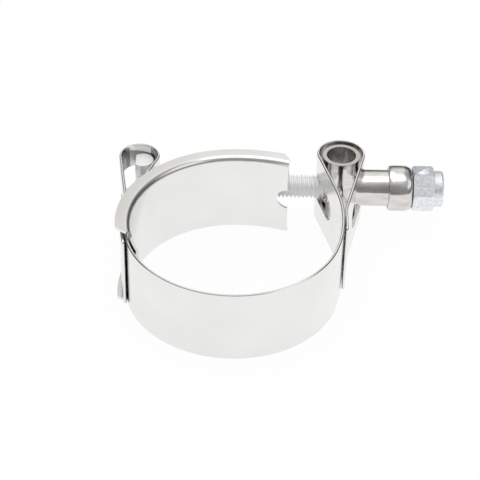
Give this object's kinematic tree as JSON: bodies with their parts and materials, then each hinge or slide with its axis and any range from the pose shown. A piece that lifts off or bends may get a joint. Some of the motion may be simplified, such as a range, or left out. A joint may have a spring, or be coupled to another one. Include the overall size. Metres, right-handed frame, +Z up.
{
  "type": "t-bolt hose clamp",
  "caption": "Stainless band clamp for hoses: a flat strip ring with looped ends, a flanged bridge under its gap, and a T-headed bolt through a trunnion with a cap and lock nut.",
  "frame": {"origin": "middle of the clamp's underside, at the lowest edge of the bridge's lower lip", "axes": "+X along the bolt towards the nut, +Y from the ring's front to the bolt, +Z up along the hose's axis"},
  "size_m": [0.0814, 0.0624, 0.0216],
  "materials": {
    "band_steel": "bright satin stainless",
    "formed_steel": "polished",
    "zinc_plate": "bright zinc plate",
    "nylon": "smooth"
  },
  "bodies": {
    "clamp": {"band": "band_steel", "bridge": "band_steel"},
    "trunnion": {"trunnion": "formed_steel"},
    "bolt": {"t_bolt": "zinc_plate"},
    "cap": {"sleeve_cap": "formed_steel"},
    "nut": {"lock_nut": "zinc_plate", "nylon_ring": "nylon"}
  },
  "joints": [
    {"name": "trunnion_swivel", "type": "hinge", "parent": "clamp", "child": "trunnion", "pos_m": [0.01464, 0.02385, 0.0105], "axis": [0, 0, 1], "range_deg": [-0.15, 0.6]},
    {"name": "bolt_slide", "type": "slide", "parent": "trunnion", "child": "bolt", "axis": [1, 0, 0], "range_m": [-0.0014, 0.0002]},
    {"name": "nut_travel", "type": "slide", "parent": "bolt", "child": "cap", "axis": [1, 0, 0], "range_m": [-0.0013, 0.005]},
    {"name": "nut_turn", "type": "hinge", "parent": "cap", "child": "nut", "pos_m": [0.03564, 0.02385, 0.0105], "axis": [1, 0, 0], "range_deg": [-470, 1802]}
  ],
  "couplings": [
    {"joint": "nut_turn", "follows": "nut_travel", "rad_per_m": 6283.2}
  ]
}
